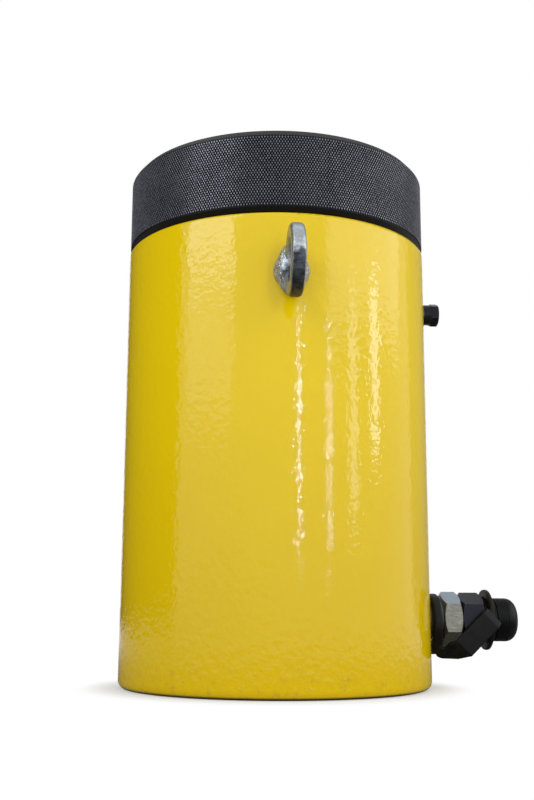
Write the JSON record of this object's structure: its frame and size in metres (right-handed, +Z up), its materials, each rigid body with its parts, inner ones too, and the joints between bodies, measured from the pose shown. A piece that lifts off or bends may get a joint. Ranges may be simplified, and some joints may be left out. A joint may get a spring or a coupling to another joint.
{
  "type": "lock nut hydraulic cylinder",
  "caption": "Upright yellow hydraulic cylinder with a knurled black lock nut, a tilting saddle, lifting eyebolts, an overflow plug and a capped quick coupler.",
  "frame": {"origin": "centre of the base face, on the plunger's axis", "axes": "+Z up along the plunger, +X towards the oil port and the overflow plug, eyebolts on -Y and +Y"},
  "size_m": [0.2653, 0.298, 0.362],
  "materials": {
    "barrel_paint": "gloss yellow enamel with a light orange peel",
    "black_oxide": "black oxide steel, satin",
    "plunger_steel": "turned steel with a thin film of oil",
    "saddle_steel": "hardened steel",
    "galvanised_steel": "forged steel, hot galvanised",
    "zinc_plate": "bright zinc plate",
    "black_steel": "blackened steel",
    "cap_plastic": "black moulded plastic",
    "strap_rubber": "black moulded rubber",
    "seal_rubber": "black nitrile",
    "bearing_band": "filled composite bearing strip",
    "backup_plastic": "hard off-white plastic",
    "seal_washer": "copper-coloured sealing washer",
    "ball_steel": "polished bearing steel"
  },
  "bodies": {
    "root": {"cylinder_body": "barrel_paint", "front_eyebolt": "galvanised_steel", "rear_eyebolt": "galvanised_steel", "overflow_plug": "black_steel", "overflow_washer": "seal_washer", "port_adapter": "zinc_plate", "coupler_seal": "seal_rubber", "coupler_body": "black_steel", "socket_seal": "seal_rubber", "valve_retainer": "zinc_plate", "check_spring": "saddle_steel", "cap_strap": "strap_rubber"},
    "lock_nut": {"lock_nut": "black_oxide"},
    "plunger": {"plunger": "plunger_steel", "lower_guide_ring": "bearing_band", "upper_guide_ring": "bearing_band", "piston_seal": "seal_rubber", "seal_energiser": "seal_rubber", "backup_ring": "backup_plastic", "saddle_wiper": "seal_rubber", "saddle_screw": "black_oxide"},
    "saddle_spring": {"saddle_spring": "saddle_steel"},
    "tilt_saddle": {"tilt_saddle": "saddle_steel"},
    "dust_cap": {"dust_cap": "cap_plastic"},
    "check_ball": {"check_ball": "ball_steel"}
  },
  "joints": [
    {"name": "lock_nut_turn", "type": "hinge", "parent": "root", "child": "lock_nut", "pos_m": [0, 0, 0.3185], "axis": [0, 0, -1], "range_deg": [0, 9000]},
    {"name": "plunger_lift", "type": "slide", "parent": "root", "child": "plunger", "axis": [0, 0, 1], "range_m": [0, 0.15]},
    {"name": "saddle_turn", "type": "hinge", "parent": "plunger", "child": "saddle_spring", "pos_m": [0, 0, 0.38885], "axis": [0, 0, 1], "continuous": true},
    {"name": "saddle_tilt", "type": "hinge", "parent": "saddle_spring", "child": "tilt_saddle", "pos_m": [0, 0, 0.38885], "axis": [1, 0, 0], "range_deg": [-5, 5], "deforming": ["saddle_spring"]},
    {"name": "dust_cap_pull", "type": "slide", "parent": "root", "child": "dust_cap", "axis": [1, 0, 0], "range_m": [0, 0.022]},
    {"name": "check_ball_push", "type": "slide", "parent": "root", "child": "check_ball", "axis": [-1, 0, 0], "range_m": [0, 0.003], "stiffness_N_per_m": 800, "springref_m": -0.003, "deforming": ["check_spring"]}
  ],
  "couplings": [
    {"joint": "plunger_lift", "follows": "lock_nut_turn", "m_per_rad": 0.00095493}
  ]
}
